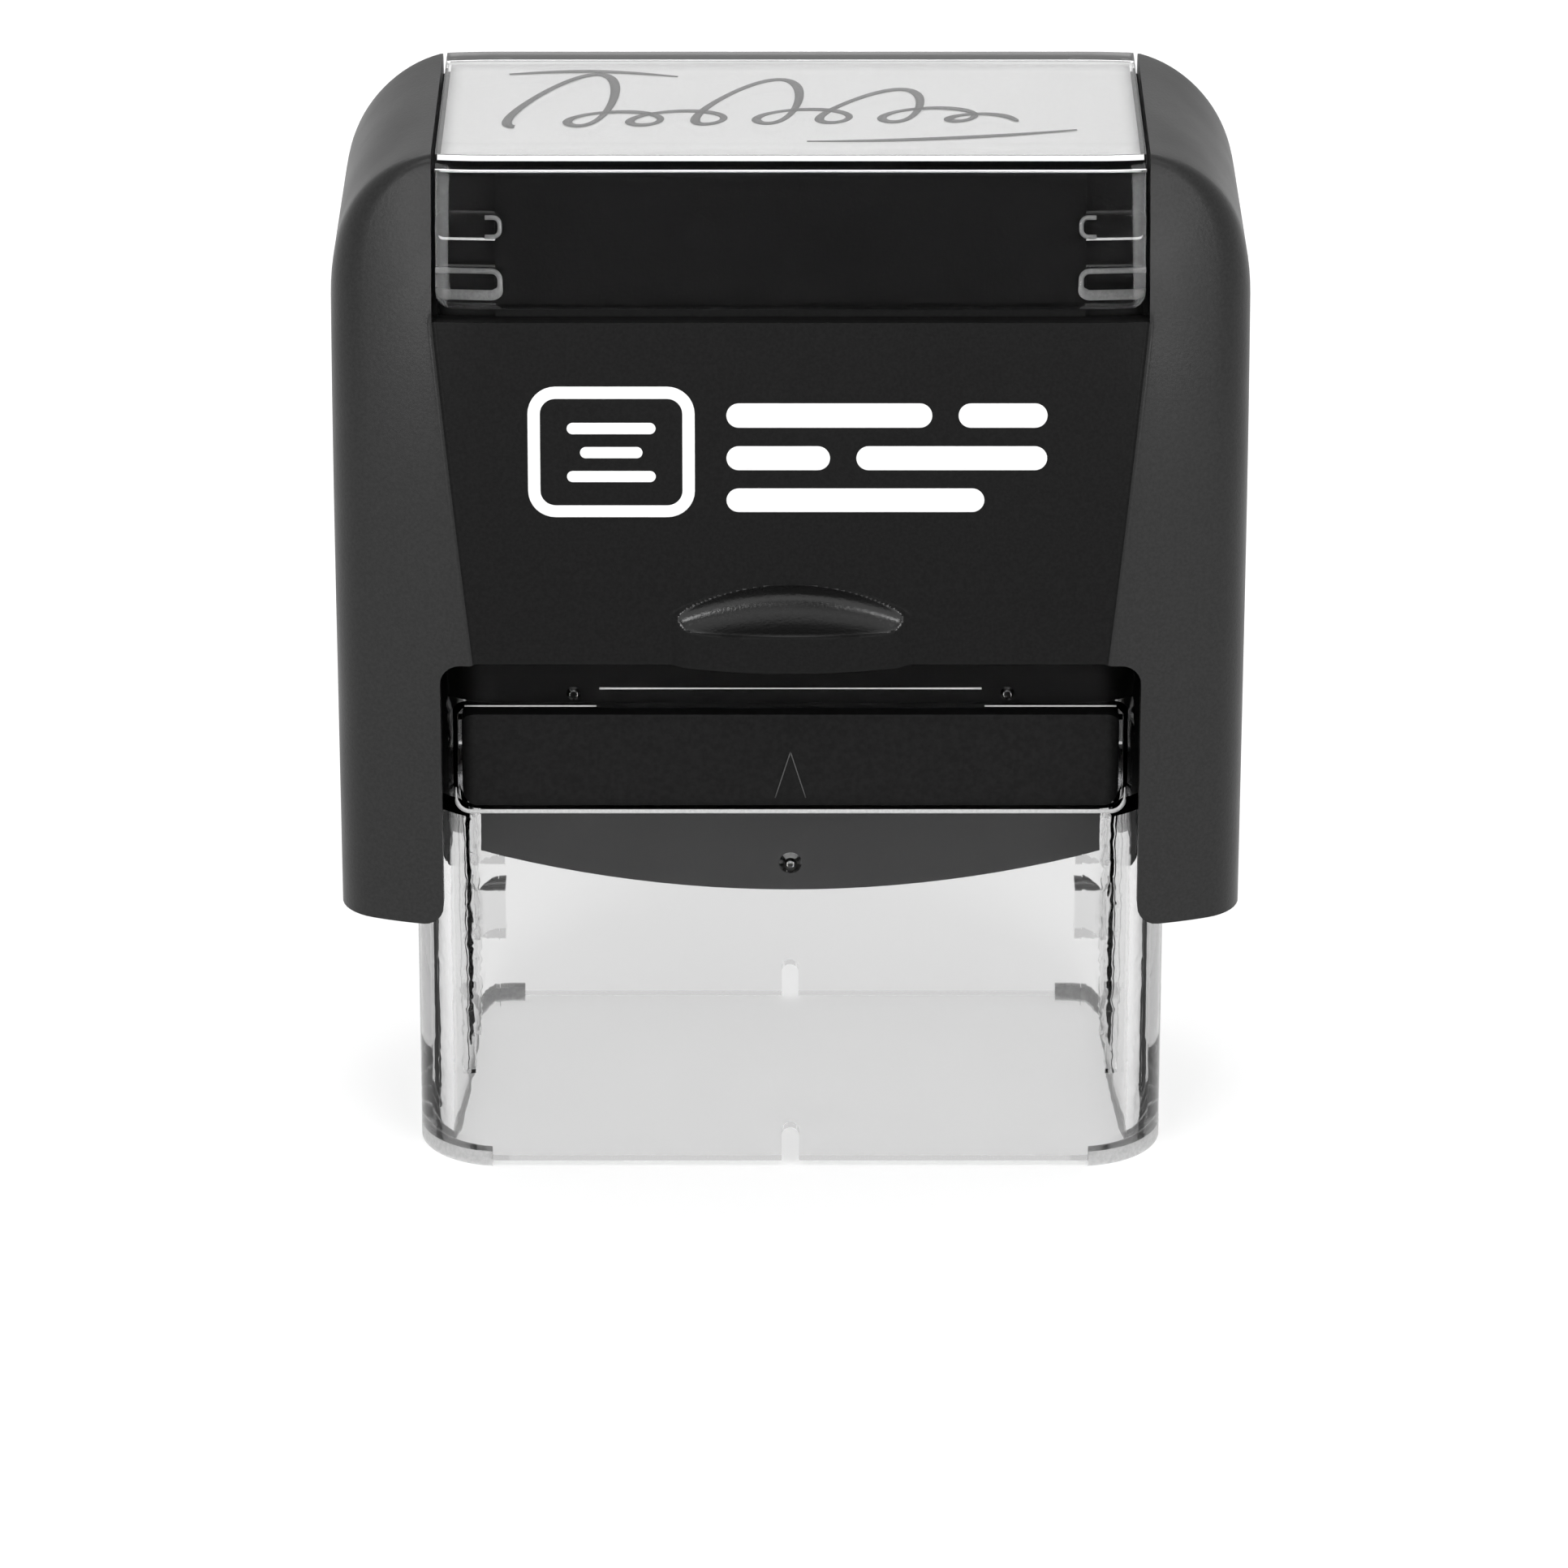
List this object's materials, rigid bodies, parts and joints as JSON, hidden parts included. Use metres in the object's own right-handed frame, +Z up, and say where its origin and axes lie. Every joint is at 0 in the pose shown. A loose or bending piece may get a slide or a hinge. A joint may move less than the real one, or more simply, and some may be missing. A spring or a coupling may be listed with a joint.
{
  "type": "self inking stamp",
  "caption": "Self-inking hand stamp with a black press-down cap, a clear open stand, an ink cartridge behind a window and a die that turns over as the cap goes down.",
  "frame": {"origin": "middle of the stand's footprint, on the surface that the feet rest on", "axes": "+X along the die to the right as seen from the front, +Y from the front to the back, +Z up along the cap's travel"},
  "size_m": [0.056, 0.0324, 0.0662],
  "materials": {
    "cap_plastic": "fine satin texture",
    "yoke_plastic": "smooth satin",
    "tray_plastic": "semi-gloss",
    "platen_plastic": "satin",
    "clear_stand": "clear, polished",
    "clear_cover": "clear, polished",
    "foot_rubber": "soft matte grey",
    "spring_steel": "drawn wire",
    "pin_steel": "ground",
    "pad_felt": "ink-soaked felt",
    "cushion_foam": "fine closed-cell foam",
    "die_rubber": "smooth laser-cut rubber",
    "label_paper": "matt paper"
  },
  "bodies": {
    "stand": {"stand_frame": "clear_stand", "foot_left": "foot_rubber", "foot_right": "foot_rubber", "deck_plate": "tray_plastic", "cartridge_tray": "tray_plastic", "ink_pad": "pad_felt", "return_spring": "spring_steel"},
    "cap": {"cap_shell": "cap_plastic", "yoke": "yoke_plastic", "index_label": "label_paper"},
    "platen": {"platen": "platen_plastic", "die_cushion": "cushion_foam", "text_plate": "die_rubber", "axle_pin_left": "pin_steel", "axle_pin_right": "pin_steel"},
    "cover": {"index_window": "clear_cover"}
  },
  "joints": [
    {"name": "cap_press", "type": "slide", "parent": "stand", "child": "cap", "axis": [0, 0, -1], "range_m": [0, 0.0165], "stiffness_N_per_m": 600, "springref_m": -0.008, "deforming": ["return_spring"]},
    {"name": "platen_flip", "type": "hinge", "parent": "cap", "child": "platen", "pos_m": [0, 0, 0.021], "axis": [1, 0, 0], "range_deg": [0, 180.5]},
    {"name": "cover_lift", "type": "slide", "parent": "cap", "child": "cover", "axis": [0, 0, 1], "range_m": [0, 0.02]}
  ],
  "couplings": [
    {"joint": "platen_flip", "follows": "cap_press", "rad_per_m": 190.4}
  ]
}
